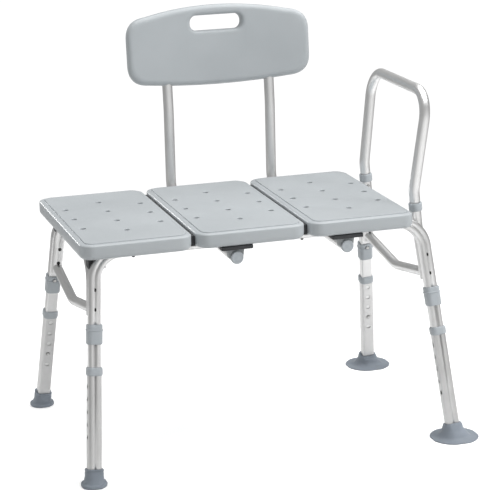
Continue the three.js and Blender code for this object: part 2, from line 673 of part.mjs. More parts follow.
const backMiddle = (CROSS_TUBE.x[0] + CROSS_TUBE.x[1]) / 2;
['left', 'right'].forEach((name, i) => {
  const x = CROSS_TUBE.x[i];
  node(`${name}_backrest_post`, backrestPost(x), MATERIAL.aluminium);
  const flangeAt = flangeInBore(POST.diameter / 2 - POST.wall);
  const clip = snapClip(flangeAt, CROSS_TUBE.diameter / 2 + BUTTON.proud).rotate([-90, 0, 0]);
  node(`${name}_backrest_button`, clip, MATERIAL.spring)
    .position.set(x, POST.buttonY, crossZ);
});
const backrest = node('backrest_panel', backrestPanel(), MATERIAL.seat);
backrest.position.set(backMiddle, POST.y, POST.leanFrom);
backrest.rotation.x = -leanAngle;

// ---- Arm rail ----

function armRail() {
  const shoulder = socketPoint(ARM.shoulder);
  const knee = socketPoint(ARM.knee);
  const top = at(ARM.topX, -ARM.topY, ARM.topZ);
  const run = new BentRun(
    [shoulder, knee, top, mirrorY(top), mirrorY(knee), mirrorY(shoulder)],
    [ARM.kneeBend, ARM.topBend, ARM.topBend, ARM.kneeBend], at(1, 0, 0));
  const spigotRun = new BentRun(
    [socketPoint(ARM.spigotBottom), socketPoint(ARM.shoulder + 1)], 0, at(1, 0, 0));
  const spigot = sweep(pipe(ARM.spigot, ARM.wall), spigotRun);
  const button = socketPoint(ARM_BUTTON_Z);
  const drilled = cut(spigot, bar(HOLE.diameter, button, button.clone().add(at(0, 20, 0)), 8));
  const wall = (ARM.diameter - ARM.spigot) / 2 + ARM.wall / 2;
  return join(sweep(pipe(ARM.diameter, wall), run), drilled, mirrored(drilled));
}

function armCollar() {
  const { diameter, below, above } = ARM_COLLAR;
  const [low, high] = [SOCKET_TOP - below, SOCKET_TOP + above];
  return cut(bar(diameter, socketPoint(low), socketPoint(high), 16),
    bar(SIDE_TUBE.diameter + 4 * GAP, socketPoint(low - 5), socketPoint(SOCKET_TOP + GAP), 16),
    bar(ARM.spigot + 4 * GAP, socketPoint(low), socketPoint(high + 5), 16));
}

function armClip() {
  const flangeAt = flangeInBore(ARM.spigot / 2 - ARM.wall);
  return snapClip(flangeAt, SIDE_TUBE.diameter / 2 + BUTTON.proud, BUTTON.shortTang)
    .translate(socketPoint(ARM_BUTTON_Z).toArray());
}

node('arm_rail', armRail(), MATERIAL.aluminium);
node('front_arm_collar', armCollar(), MATERIAL.collar);
node('rear_arm_collar', mirrored(armCollar()), MATERIAL.collar);
node('front_arm_button', armClip(), MATERIAL.spring);
node('rear_arm_button', mirrored(armClip()), MATERIAL.spring);

// ---- Origin: the middle of the bench's box, on the floor ----

bench.updateMatrixWorld(true);
const bounds = new THREE.Box3().setFromObject(bench, true);
const middle = bounds.getCenter(new THREE.Vector3());
bench.position.set(-middle.x, -middle.y, -bounds.min.z);

export default bench;
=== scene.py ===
"""Bath transfer bench: the looks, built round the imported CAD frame."""

import math

import bmesh
import bpy
from mathutils import Matrix, Vector


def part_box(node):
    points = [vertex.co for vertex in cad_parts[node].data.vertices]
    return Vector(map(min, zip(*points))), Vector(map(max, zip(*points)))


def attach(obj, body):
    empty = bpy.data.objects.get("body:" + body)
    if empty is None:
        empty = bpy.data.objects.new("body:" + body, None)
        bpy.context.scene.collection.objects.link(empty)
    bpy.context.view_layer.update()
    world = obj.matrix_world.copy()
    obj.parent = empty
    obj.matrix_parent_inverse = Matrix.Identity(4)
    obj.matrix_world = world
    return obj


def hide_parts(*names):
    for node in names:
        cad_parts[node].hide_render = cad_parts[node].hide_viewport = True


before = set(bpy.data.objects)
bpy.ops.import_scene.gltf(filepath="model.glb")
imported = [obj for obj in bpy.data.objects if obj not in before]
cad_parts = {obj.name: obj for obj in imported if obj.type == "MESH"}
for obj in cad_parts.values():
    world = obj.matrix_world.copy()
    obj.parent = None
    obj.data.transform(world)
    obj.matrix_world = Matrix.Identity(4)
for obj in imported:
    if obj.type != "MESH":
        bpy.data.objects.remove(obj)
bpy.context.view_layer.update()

# ---- Places and sizes: metres where they come from the frame, millimetres elsewhere ----

MM = 0.001


def middle(node):
    low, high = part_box(node)
    return (Vector(low) + Vector(high)) / 2


def top_of(node):
    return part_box(node)[1][2]


SEAT = middle("seat_panel_centre")
SEAT_TOP = top_of("seat_panel_centre") / MM
ORIGIN = Vector((middle("front_frame").x, SEAT.y, 0))
TO_FRAME = Matrix.Translation(ORIGIN) @ Matrix.Scale(MM, 4)
HALF_TURN = TO_FRAME @ Matrix.Rotation(math.pi, 4, "Z")

LEAN_X, LEAN_Y = 0.0895, 0.197        # a leg's sideways run per unit of height
FOOT = Vector((386.1, -253.9, 1.0))   # where the front right leg's axis meets its foot
COLUMN_LOBE, COLUMN_BORE = 6.8, 5.6
LOWER_LOBE, LOWER_BORE = 8.35, 7.15
LOBE_X, LOBE_Y = 5.45, 4.2
LEG = {
    "lower_end": 12, "lower_top": 231, "inner_end": 102, "inner_top": 299, "frame_end": 300.5,
    "ring_from": 218, "ring_to": 235.5, "coupler_from": 280.5, "coupler_to": 320,
    "side_tube_end": 336, "coupler_button": 312,
}
HOLE_PITCH, HOLE_RADIUS, HOLE_FIRST, SIDE_HOLE_FIRST, HOLE_COUNT = 25.4, 4.2, 208.5, 197.5, 5
HEIGHT_BUTTON = HOLE_FIRST - 3 * HOLE_PITCH
RIVETS, RIVET_TAILS = (388, 349), (395, 363)
SIDE_TUBE, SIDE_OFFSET, TUBE_WALL = 11.1, 22.7, 1.4
SOCKET_Y, SOCKET_TOP = 144.5, SEAT_TOP - 3
PANEL_THICK, PANEL_ROW_X, PANEL_HALF_PITCH = 32, -32, 118
RAIL_BELOW_SEAT = 30.5                # the frame rails' axis below the seat's top
RAIL_SCREWS_X, RAIL_SCREW_DROP = (-268, 85), 12.25
FRAME_BEND, LEFT_RAIL_BEND, SOCKET_BEND = 57, 70, 100
BRACE_R, BRACE_WALL, BRACE_BEND, BRACE_END, BRACE_MIDDLE = 10, 1.3, 90, 143, 171
RIVET_DEPTH = -8.27                   # the floor of the groove between the two lobes
BUTTON_PROUD, BUTTON_FLANGE, BORE_ROOM, COUPLER_FACE = 3.2, 5, 0.97, 14.5
ARM_BUTTON_Z = SEAT_TOP - 24
TUBE_SIDES = 40
CROSS_X, CROSS_Z, CROSS_R = (-65, 169), SEAT_TOP - 57.3, 12.7
POST_R, POST_Y, POST_KNEE = 11.1, 286, SEAT_TOP + 150
BACK_LEAN = math.radians(5)
GAP = 0.3

# ---- Mesh helpers ----


def vec(x, y, z=0.0):
    return Vector((x, y, z))


def arc(x, y, radius, start, end, steps):
    angles = [start + (end - start) * i / steps for i in range(steps + 1)]
    return [vec(x + radius * math.cos(a), y + radius * math.sin(a)) for a in angles]


def circle(radius, sides=32):
    return arc(0, 0, radius, 0, 2 * math.pi, sides)[:-1]


def column(lobe, lobe_steps=12, corner_steps=5):
    """The twin-lobe outline, anticlockwise from the groove on its -Y face."""
    groove = math.acos(LOBE_X / lobe)
    corner = lobe - 2.8
    right = arc(LOBE_X, -LOBE_Y, lobe, -math.pi + groove, 0, lobe_steps)
    right += arc(LOBE_X + lobe - corner, LOBE_Y + lobe - corner, corner,
                 0, math.pi / 2, corner_steps)
    return right + [vec(-p.x, p.y) for p in reversed(right[1:])]


def rounded_rect(half_x, half_y, radius, steps=8, height=0.0, front_right=None):
    """Anticlockwise from the front right corner, which may have a radius of its own."""
    quarter = math.pi / 2
    points = []
    for turn, (x, y) in enumerate(((1, -1), (1, 1), (-1, 1), (-1, -1))):
        corner = front_right if front_right and turn == 0 else radius
        points += arc(x * (half_x - corner), y * (half_y - corner), corner,
                      (turn - 1) * quarter, turn * quarter, steps)
    return [vec(p.x, p.y, height) for p in points]


def lifted(outline, height):
    return [vec(p.x, p.y, height) for p in outline]


def loft(loops, closed=False, capped=True):
    """Vertices and faces through loops of equal length; closed joins the last to the first."""
    count = len(loops[0])
    verts = [v for loop in loops for v in loop]
    faces = []
    for row in range(len(loops) if closed else len(loops) - 1):
        here, there = row * count, ((row + 1) % len(loops)) * count
        for i in range(count):
            j = (i + 1) % count
            faces.append((here + i, here + j, there + j, there + i))
    if capped and not closed:
        faces.append(tuple(reversed(range(count))))
        faces.append(tuple(range(len(verts) - count, len(verts))))
    return verts, faces


def soften(mesh, degrees=38):
    """Smooth faces, with edges sharper than the angle kept crisp."""
    work = bmesh.new()
    work.from_mesh(mesh)
    for face in work.faces:
        face.smooth = True
    for edge in work.edges:
        edge.smooth = edge.calc_face_angle(0.0) < math.radians(degrees)
    work.to_mesh(mesh)
    work.free()


def outward(mesh):
    work = bmesh.new()
    work.from_mesh(mesh)
    bmesh.ops.recalc_face_normals(work, faces=work.faces)
    work.to_mesh(mesh)
    work.free()


def piece(name, shape, matrix=TO_FRAME):
    """A new object in the scene from vertices and faces in millimetres."""
    verts, faces = shape
    mesh = bpy.data.meshes.new(name)
    mesh.from_pydata([matrix @ v for v in verts], [], faces)
    outward(mesh)
    made = bpy.data.objects.new(name, mesh)
    bpy.context.scene.collection.objects.link(made)
    return made


def merged(*shapes):
    verts, faces = [], []
    for more_verts, more_faces in shapes:
        start = len(verts)
        verts += more_verts
        faces += [tuple(start + i for i in face) for face in more_faces]
    return verts, faces


def moved(shape, matrix):
    return [matrix @ v for v in shape[0]], shape[1]


def cut(target, tool):
    """Takes the tool's solid out of the target, and removes the tool."""
    modifier = target.modifiers.new("difference", "BOOLEAN")
    modifier.operation = "DIFFERENCE"
    modifier.solver = "EXACT"
    modifier.object = tool
    bpy.context.view_layer.update()
    graph = bpy.context.evaluated_depsgraph_get()
    result = bpy.data.meshes.new_from_object(target.evaluated_get(graph))
    target.modifiers.clear()
    old = target.data
    target.data = result
    bpy.data.meshes.remove(old)
    result.name = target.name
    bpy.data.objects.remove(tool)


def carve(target, shapes, matrix=TO_FRAME):
    for shape in shapes:
        cut(target, piece("tool", shape, matrix))


def turned(profile, sides=32):
    """A solid turned about Z; the profile is [radius, height] from the axis to the axis."""
    return loft([lifted(circle(max(radius, 0.02), sides), height) for radius, height in profile])


def aimed(point, direction, up=(0, 0, 1)):
    """A placement whose Z points along direction."""
    z = Vector(direction).normalized()
    x = Vector(up).cross(z)
    if x.length < 1e-4:
        x = Vector((1, 0, 0))
    x.normalize()
    y = z.cross(x)
    turn = Matrix((x, y, z)).transposed().to_4x4()
    return Matrix.Translation(point) @ turn


def rod(radius, start, end, sides=32):
    length = (end - start).length
    return moved(turned([(radius, 0), (radius, length)], sides), aimed(start, end - start))


# ---- Bent tubes ----


def bend(corner, before, after, radius, steps):
    angle = before.angle(after)
    start = corner - before * (radius * math.tan(angle / 2))
    inward = (after - before * before.dot(after)).normalized()
    count = max(3, math.ceil(steps * angle / (math.pi / 2)))
    for i in range(count + 1):
        turn = angle * i / count
        point = start + before * (radius * math.sin(turn)) + inward * (radius * (1 - math.cos(turn)))
        yield point, before * math.cos(turn) + inward * math.sin(turn)


def run_of(corners, radii, steps=16):
    """Stations (point, direction) along straight lengths joined by round bends."""
    ways = [(b - a).normalized() for a, b in zip(corners, corners[1:])]
    stations = [(corners[0], ways[0])]
    for i, radius in enumerate(radii):
        stations += bend(corners[i + 1], ways[i], ways[i + 1], radius, steps)
    stations.append((corners[-1], ways[-1]))
    return stations


def swept_loops(outline, stations, reference, inset=0.0):
    loops = []
    for place, (point, way) in enumerate(stations):
        side = (reference - way * reference.dot(way)).normalized()
        across = side.cross(way)
        if place == 0:
            point = point + way * inset
        if place == len(stations) - 1:
            point = point - way * inset
        loops.append([point + across * p.x + side * p.y for p in outline])
    return loops


def tube(outline, bore, stations, reference, lip=0.35):
    """A hollow tube with softened end lips."""
    trimmed = [vec(p.x * (1 - lip / 12), p.y * (1 - lip / 12)) for p in outline]
    outside = swept_loops(outline, stations, reference, lip)
    rims = swept_loops(trimmed, stations, reference)
    inside = swept_loops(bore, stations, reference)
    loops = [rims[0], *outside, rims[-1], *reversed(inside)]
    return loft(loops, closed=True)


def swept_piece(name, outline, bore, stations, reference, matrix=TO_FRAME):
    """A hollow tube with a map of its surface: U round the section, V along it, in metres."""
    made = piece(name, tube(outline, bore, stations, reference), matrix)
    count = len(outline)
    run = [0.0]
    for (here, _), (there, _) in zip(stations, stations[1:]):
        run.append(run[-1] + (there - here).length * MM)
    along = [run[0], *run, run[-1], *reversed(run)]
    step = (outline[1] - outline[0]).length * MM
    layer = made.data.uv_layers.new(name="along")
    for polygon in made.data.polygons:
        columns = [v % count for v in polygon.vertices]
        wraps = max(columns) - min(columns) > 1
        for loop, v, column_at in zip(polygon.loop_indices, polygon.vertices, columns):
            turn = count if wraps and column_at == 0 else column_at
            layer.data[loop].uv = (turn * step, along[v // count])
    return made


# ---- Leg geometry ----

ACROSS = vec(0, 1, -LEAN_Y).normalized()


def leg_axes(side):
    """The leg's own axes on the front end: Z up the leg, -Y its grooved outer face."""
    up = vec(-side * LEAN_X, LEAN_Y, 1).normalized()
    across = ACROSS.cross(up)
    turn = Matrix((across, ACROSS, up)).transposed().to_4x4()
    return Matrix.Translation((side * FOOT.x, FOOT.y, FOOT.z)) @ turn


def leg_point(side, along, inward=0.0):
    return leg_axes(side) @ vec(0, inward, along)


def along_at(height, inward=0.0):
    base = leg_point(1, 0, inward).z
    return (height - base) / (leg_point(1, 1, inward).z - base)


def side_line(side, height):
    return leg_point(side, along_at(height, SIDE_OFFSET), SIDE_OFFSET)


def flipped(point):
    return vec(point.x, -point.y, point.z)


side_start = side_line(1, FOOT.z)
socket_knee = side_start + vec(-LEAN_X, LEAN_Y, 1) * ((-SOCKET_Y - side_start.y) / LEAN_Y)


def socket_point(height):
    return vec(socket_knee.x - LEAN_X * (height - socket_knee.z), -SOCKET_Y, height)


# ---- Materials ----


class Finish:
    """A node material, with short names for the nodes that every finish uses."""

    def __init__(self, name):
        self.material = bpy.data.materials.new(name)
        self.material.use_nodes = True
        self.tree = self.material.node_tree
        self.shader = self.tree.nodes["Principled BSDF"]
        self.place = self.node("ShaderNodeTexCoord").outputs["Object"]

    def node(self, kind, **settings):
        made = self.tree.nodes.new(kind)
        for key, value in settings.items():
            setattr(made, key, value)
        return made

    def link(self, source, target):
        self.tree.links.new(source, target)

    def set(self, **values):
        for key, value in values.items():
            self.shader.inputs[key.replace("_", " ")].default_value = value

    def noise(self, scale, detail=3.0, stretch=None, roughness=0.5):
        made = self.node("ShaderNodeTexNoise")
        made.inputs["Scale"].default_value = scale
        made.inputs["Detail"].default_value = detail
        made.inputs["Roughness"].default_value = roughness
        source = self.place
        if stretch:
            mapping = self.node("ShaderNodeMapping")
            mapping.inputs["Scale"].default_value = stretch
            self.link(self.place, mapping.inputs["Vector"])
            source = mapping.outputs["Vector"]
        self.link(source, made.inputs["Vector"])
        return made.outputs["Fac"]

    def ramp(self, source, stops):
        made = self.node("ShaderNodeValToRGB")
        elements = made.color_ramp.elements
        for i, (position, color) in enumerate(stops):
            element = elements[i] if i < 2 else elements.new(position)
            element.position = position
            element.color = (*color, 1)
        self.link(source, made.inputs["Fac"])
        return made.outputs["Color"]

    def spread(self, source, low, high):
        made = self.node("ShaderNodeMapRange")
        made.inputs["To Min"].default_value = low
        made.inputs["To Max"].default_value = high
        self.link(source, made.inputs["Value"])
        return made.outputs["Result"]

    def bump(self, source, strength, distance, onto=None):
        made = self.node("ShaderNodeBump")
        made.inputs["Strength"].default_value = strength
        made.inputs["Distance"].default_value = distance
        self.link(source, made.inputs["Height"])
        if onto:
            self.link(onto, made.inputs["Normal"])
        return made.outputs["Normal"]

    def color(self, source):
        self.link(source, self.shader.inputs["Base Color"])

    def roughness(self, source):
        self.link(source, self.shader.inputs["Roughness"])

    def normal(self, source):
        self.link(source, self.shader.inputs["Normal"])


def moulded(name, dark, light, rough, grain, grain_depth):
    """Moulded plastic or rubber: a slow colour drift, a fine pebble grain and uneven gloss."""
    finish = Finish(name)
    drift = finish.noise(7, 4)
    finish.color(finish.ramp(drift, [(0.32, dark), (0.68, light)]))
    finish.roughness(finish.spread(finish.noise(60, 3), rough, rough + 0.06))
    pebble = finish.noise(grain, 2, roughness=0.6)
    wave = finish.bump(finish.noise(10, 0), 0.1, 0.0012)
    finish.normal(finish.bump(pebble, 0.35, grain_depth, wave))
    return finish


def seat_plastic():
    finish = moulded("seat_plastic", (0.375, 0.402, 0.42), (0.41, 0.437, 0.455), 0.28, 450, 0.00002)
    finish.set(Specular_IOR_Level=0.5)
    return finish.material


def collar_plastic():
    finish = moulded("collar_plastic", (0.36, 0.39, 0.415), (0.40, 0.43, 0.455), 0.40, 1200, 0.00015)
    return finish.material


def foot_rubber():
    finish = moulded("foot_rubber", (0.17, 0.195, 0.225), (0.23, 0.26, 0.30), 0.52, 700, 0.0002)
    finish.set(Specular_IOR_Level=0.35, Sheen_Weight=0.08, Sheen_Roughness=0.5)
    return finish.material


def dark_plastic():
    finish = moulded("bracket_plastic", (0.018, 0.019, 0.022), (0.032, 0.034, 0.038), 0.5, 1100,
                     0.00015)
    return finish.material


# A darker copy of the collar's grey plastic for the saddles: painted shade from the seat above them.
def saddle_plastic_painted_shade():
    finish = moulded("saddle_plastic_painted_shade", (0.25, 0.27, 0.28), (0.31, 0.33, 0.34), 0.45, 1100,
                     0.00015)
    return finish.material


def aluminium(name, dark, light):
    """Satin anodised tube: a soft cloud in its colour, fine lengthwise draw lines in its gloss."""
    finish = Finish(name)
    finish.set(Metallic=1.0, Specular_IOR_Level=0.5)
    cloud = finish.noise(22, 3)
    finish.place = finish.node("ShaderNodeUVMap", uv_map="along").outputs["UV"]
    lines = finish.noise(1, 4, stretch=(2200, 22, 1), roughness=0.65)
    finish.color(finish.ramp(cloud, [(0.3, (dark, dark, dark)), (0.7, (light, light, light))]))
    finish.roughness(finish.spread(lines, 0.27, 0.43))
    finish.normal(finish.bump(lines, 0.12, 0.00006))
    return finish.material


def spring_steel():
    finish = Finish("snap_button")
    finish.set(Metallic=1.0)
    finish.color(finish.ramp(finish.noise(300, 3), [(0.3, (0.5, 0.5, 0.5)),
                                                    (0.7, (0.66, 0.66, 0.65))]))
    finish.roughness(finish.spread(finish.noise(900, 4), 0.2, 0.36))
    finish.normal(finish.bump(finish.noise(1500, 3), 0.2, 0.00005))
    return finish.material


def blackened_steel():
    finish = Finish("rivet_steel")
    finish.set(Metallic=0.8)
    finish.color(finish.ramp(finish.noise(500, 3), [(0.3, (0.02, 0.02, 0.021)),
                                                    (0.7, (0.05, 0.05, 0.05))]))
    finish.roughness(finish.spread(finish.noise(700, 4), 0.3, 0.5))
    finish.normal(finish.bump(finish.noise(1300, 3), 0.25, 0.00006))
    return finish.material


MATERIALS = {
    "seat_plastic": seat_plastic(),
    "collar_plastic": collar_plastic(),
    "foot_rubber": foot_rubber(),
    "aluminium_tube": aluminium("aluminium_tube", 0.74, 0.80),
    # The lower legs take a darker copy of the tube aluminium: painted shade.
    "aluminium_leg_painted_shade": aluminium("aluminium_leg_painted_shade", 0.62, 0.68),
    # The arm rail takes a lighter copy of the tube aluminium: painted light.
    "aluminium_arm_painted_light": aluminium("aluminium_arm_painted_light", 0.85, 0.90),
    "bracket_plastic": dark_plastic(),
    "snap_button": spring_steel(),
    "rivet": blackened_steel(),
    "saddle": saddle_plastic_painted_shade(),
}


def dress(obj, finish, body="bench_frame", stands_for=(), crisp=38):
    """Material, shading, body and the CAD nodes that the piece stands for."""
    soften(obj.data, crisp)
    obj.data.materials.clear()
    obj.data.materials.append(MATERIALS[finish])
    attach(obj, body)
    if stands_for:
        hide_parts(*stands_for)
    return obj


# ---- Frames and legs ----

ENDS = (("front", TO_FRAME, 1), ("rear", HALF_TURN, -1))


def bored_hole(direction, at, face):
    """A drill that starts inside the tube and leaves through one wall, breaking its edge."""
    profile = [(0, 6), (HOLE_RADIUS, 6), (HOLE_RADIUS, face - 0.7), (HOLE_RADIUS + 0.8, face + 0.1),
               (HOLE_RADIUS + 0.8, 24), (0, 24)]
    return moved(turned(profile, 24), aimed(at, direction))


def build_frame(end, matrix):
    rail_height = SEAT_TOP - RAIL_BELOW_SEAT
    corners = [leg_point(side, along_at(rail_height)) for side in (-1, 1)]
    stations = run_of([leg_point(-1, LEG["frame_end"]), *corners, leg_point(1, LEG["frame_end"])],
                      [FRAME_BEND, FRAME_BEND], 24)
    frame_tube = swept_piece(f"{end}_u_frame", column(COLUMN_LOBE), column(COLUMN_BORE),
                             stations, ACROSS, matrix)
    dress(frame_tube, "aluminium_tube", stands_for=[f"{end}_frame"])
    head = turned([(0, -3), (3.2, -3), (3.2, 1), (2.7, 2), (1.4, 2.5), (0, 2.6)], 20)
    under = rail_height - RAIL_SCREW_DROP
    screws = [moved(head, aimed(vec(x, corners[0].y - 4, under), (0, 0, -1)))
              for x in RAIL_SCREWS_X]
    dress(piece(f"{end}_rail_screws", merged(*screws), matrix), "rivet")
    rivets = [rivet(side, along, RIVET_DEPTH, -1) for side in (-1, 1) for along in RIVETS]
    dress(piece(f"{end}_groove_rivets", merged(*rivets), matrix), "rivet")


def rivet(side, along, depth, facing, proud=2.0):
    """A domed rivet head at a depth across a leg, facing out of it or into the bench."""
    dome = turned([(0, -2), (3.8, -2), (3.8, 0), (3.6, proud * 0.5), (2.7, proud * 0.85),
                   (1.3, proud), (0, proud)], 20)
    return moved(dome, leg_axes(side) @ aimed(vec(0, depth, along), (0, facing, 0)))


def straight(start, end):
    return run_of([vec(0, 0, start), vec(0, 0, end)], [])


def build_inner_tube(prefix, place):
    inner = swept_piece(f"{prefix}_inner_leg", column(COLUMN_LOBE), column(COLUMN_BORE),
                        straight(LEG["inner_end"], LEG["inner_top"]), vec(0, 1), place)
    carve(inner, [bored_hole(vec(0, 1), vec(0, 0, HEIGHT_BUTTON), LOBE_Y + COLUMN_LOBE)], place)
    dress(inner, "aluminium_tube", stands_for=[f"{prefix}_inner_tube"])


def build_lower_leg(prefix, place, body):
    lower = swept_piece(f"{prefix}_outer_leg", column(LOWER_LOBE), column(LOWER_BORE),
                        straight(LEG["lower_end"], LEG["lower_top"]), vec(0, 1), place)
    steps = [i * HOLE_PITCH for i in range(HOLE_COUNT)]
    inner_row = [bored_hole(vec(0, 1), vec(0, 0, HOLE_FIRST - step), LOBE_Y + LOWER_LOBE)
                 for step in steps]
    side_row = [bored_hole(vec(-1, 0), vec(0, 0, SIDE_HOLE_FIRST - step), LOBE_X + LOWER_LOBE)
                for step in steps]
    carve(lower, [merged(*inner_row), merged(*side_row)], place)
    # The lower leg wears the darker copy of the aluminium, painted shade.
    dress(lower, "aluminium_leg_painted_shade", body, [f"{prefix}_lower_leg"])


def skin(half_x, half_y, radius, profile):
    """A lofted block whose sides follow the profile: (inset, height) pairs."""
    return loft([rounded_rect(half_x - inset, half_y - inset, radius - inset, 8, height)
                 for inset, height in profile])


def build_ring_collar(prefix, place, body):
    low, high = LEG["ring_from"], LEG["ring_to"]
    profile = [(3.2, low), (1.6, low + 0.6), (0.6, low + 2), (0, low + 4.5), (0, high - 4.5),
               (0.6, high - 2), (1.6, high - 0.6), (3.2, high)]
    ring = piece(f"{prefix}_collar", skin(16, 14.75, 10, profile), place)
    tops = [(COLUMN_LOBE, high + 1), (LOWER_LOBE, LEG["lower_top"] + GAP)]
    for lobe, top in tops:
        outline = column(lobe + GAP)
        carve(ring, [loft([lifted(outline, low - 1), lifted(outline, top)])], place)
    dress(ring, "collar_plastic", body, [f"{prefix}_ring_collar"])


def build_coupler(prefix, place):
    low, high = LEG["coupler_from"], LEG["coupler_to"]
    rim = high - 12
    profile = [(1.6, low), (0.7, low + 0.5), (0.3, low + 1.6), (0, low + 4), (0, rim - 0.8),
               (-1.0, rim - 0.2), (-1.2, rim + 0.4), (-1.2, rim + 1.6), (-0.6, rim + 2.2),
               (0.1, rim + 2.6), (0, high - 1.8), (0.4, high - 0.7), (1.3, high)]
    block = piece(f"{prefix}_sleeve", skin(15.5, 14.5, 9.5, profile), place)
    outline = column(COLUMN_LOBE + GAP)
    carve(block, [loft([lifted(outline, low - 1), lifted(outline, high + 1)]),
                  bored_hole(vec(0, 1), vec(0, 0, LEG["coupler_button"]), COUPLER_FACE)],
          place)
    dress(block, "collar_plastic", stands_for=[f"{prefix}_coupler"])


def snap_button(name, face, tip, place, body, node, tang=24):
    """A domed button on a flange, with a spring tang; it points along its own Z."""
    radius, flange = 3.7, face - 1.2
    dome = [(0, flange), (BUTTON_FLANGE, flange), (BUTTON_FLANGE, face), (radius, face),
            (radius, tip - 1.9)]
    dome += [(radius * math.cos(a), tip - 1.9 + 1.9 * math.sin(a))
             for a in (math.radians(d) for d in (18, 36, 54, 72, 90))]
    strip = loft([rounded_rect(3, tang / 2 + 1, 1.5, 4, height) for height in
                  (flange + 0.15, flange + 1.05)])
    strip = moved(strip, Matrix.Translation((0, tang / 2 - 1, 0)))
    button = piece(name, merged(turned(dome, 24), strip), place)
    dress(button, "snap_button", body, [node], 50)


def build_foot(prefix, side, matrix, body):
    """A foot that is round on the floor and turns to the leg's own section up its neck."""
    if prefix.endswith("right"):
        rings = [(46, 0), (50.3, 0), (51, 0.6), (51.1, 1.5), (50.3, 2.3), (49, 2.5), (48.2, 2.2),
                 (45, 2.5), (40, 2.9), (36, 3.5), (33, 4.4), (30.4, 6), (28.2, 8.6), (26.1, 12),
                 (24, 16), (21.8, 20)]
        neck = [(19, 18, 24), (18.2, 17.2, 25.8), (17.7, 16.7, 28), (16.7, 15.7, 29)]
        node = f"{prefix}_suction_cup"
    else:
        rings = [(23, 0), (25.2, 0.3), (26.2, 1.4), (26.5, 3), (26.5, 5.4), (26.1, 6.8),
                 (25, 7.8), (23.4, 8.2), (21.9, 8.4), (20.9, 9.2), (20.2, 11.5), (19.7, 15.5),
                 (19.1, 19)]
        neck = [(17.9, 17.1, 24), (17.2, 16.3, 28.4), (17.8, 16.9, 29), (17.8, 16.9, 32.4),
                (16.8, 15.9, 33)]
        node = f"{prefix}_rubber_tip"
    axes = leg_axes(side)
    guide = rounded_rect(17, 16, 12, 8)
    loops = []
    for radius, height in rings:
        centre = vec(axes[0][3], axes[1][3], 0)
        if radius < 26 and height > 9:
            centre += (leg_point(side, height) - centre) * min(1.0, (height - 9) / 9)
            centre.z = 0
        loops.append([centre + cup_point(p, radius, height) for p in guide])
    for half_x, half_y, along in neck:
        loops.append([axes @ p for p in rounded_rect(half_x, half_y, 11, 8, along)])
    rubber = piece(f"{prefix}_foot", loft(loops), matrix)
    bore = column(LOWER_LOBE + GAP)
    carve(rubber, [moved(loft([lifted(bore, LEG["lower_end"] - GAP), lifted(bore, 36)]), axes)],
          matrix)
    dress(rubber, "foot_rubber", body, [node], 55)


def cup_point(guide, radius, height):
    """A ring's point, with a thumb dimple pressed into each side of a wide cup."""
    angle = math.atan2(guide.y, guide.x)
    dimple = 0.0
    if 29 < radius < 47 and height > 2.55:
        near = min(abs(angle), math.pi - abs(angle))
        dimple = 2.6 * math.exp(-(near / 0.26) ** 2) * math.exp(-((radius - 37) / 6) ** 2)
    return vec(radius * math.cos(angle), radius * math.sin(angle), max(height - dimple, 0))


def build_leg(end, side_name, side, matrix):
    prefix = f"{end}_{side_name}"
    place = matrix @ leg_axes(side)
    body = f"{prefix}_leg"
    build_inner_tube(prefix, place)
    build_lower_leg(prefix, place, body)
    build_ring_collar(prefix, place, body)
    build_coupler(prefix, place)
    build_foot(prefix, side, matrix, body)
    face = LOBE_Y + COLUMN_BORE - GAP
    inward = Matrix.Rotation(-math.pi / 2, 4, "X")
    height_at = place @ Matrix.Translation((0, 0, HEIGHT_BUTTON)) @ inward
    coupler_at = (place @ Matrix.Translation((0, 0, LEG["coupler_button"])) @ inward
                  @ Matrix.Rotation(math.pi, 4, "Z"))
    snap_button(f"{prefix}_height_snap", face, LOWER_LOBE + LOBE_Y + BUTTON_PROUD, height_at,
                f"{prefix}_height_button", f"{prefix}_height_button")
    snap_button(f"{prefix}_leg_snap", face, COUPLER_FACE + BUTTON_PROUD, coupler_at,
                f"{prefix}_leg_button", f"{prefix}_leg_button")


for end, matrix, facing in ENDS:
    build_frame(end, matrix)
    build_leg(end, "left", -facing, matrix)
    build_leg(end, "right", facing, matrix)

# ---- Side tubes and braces ----

SIDE_REFERENCE = vec(1, 0, LEAN_X)


def ring_section(radius, wall):
    return circle(radius, TUBE_SIDES), circle(radius - wall, TUBE_SIDES)


def arm_button_at(sign):
    """The arm rail's button point in the front socket (1) or the rear one (-1)."""
    at = socket_point(ARM_BUTTON_Z)
    at.y *= sign
    return at


def arm_button_hole(sign):
    at = arm_button_at(sign)
    return rod(HOLE_RADIUS, at, at + vec(0, 20 * sign), 24)


def round_tube(name, radius, wall, stations, reference, node=None, body="bench_frame",
               finish="aluminium_tube"):
    made = swept_piece(name, *ring_section(radius, wall), stations, reference)
    return dress(made, finish, body, [node] if node else [])


def build_left_rail():
    end = leg_point(-1, LEG["side_tube_end"], SIDE_OFFSET)
    corner = side_line(-1, SEAT_TOP - PANEL_THICK - GAP - SIDE_TUBE)
    stations = run_of([end, corner, flipped(corner), flipped(end)],
                      [LEFT_RAIL_BEND, LEFT_RAIL_BEND], 24)
    round_tube("side_rail", SIDE_TUBE, TUBE_WALL, stations, SIDE_REFERENCE, "left_side_rail")


def build_sockets():
    corners = [leg_point(1, LEG["side_tube_end"], SIDE_OFFSET), socket_knee,
               socket_point(SOCKET_TOP)]
    for end, sign in (("front", 1), ("rear", -1)):
        stations = run_of([c if sign > 0 else flipped(c) for c in corners], [SOCKET_BEND], 24)
        made = swept_piece(f"{end}_socket", *ring_section(SIDE_TUBE, TUBE_WALL), stations,
                           SIDE_REFERENCE)
        carve(made, [arm_button_hole(sign)])
        dress(made, "aluminium_tube", stands_for=[f"{end}_arm_socket"])


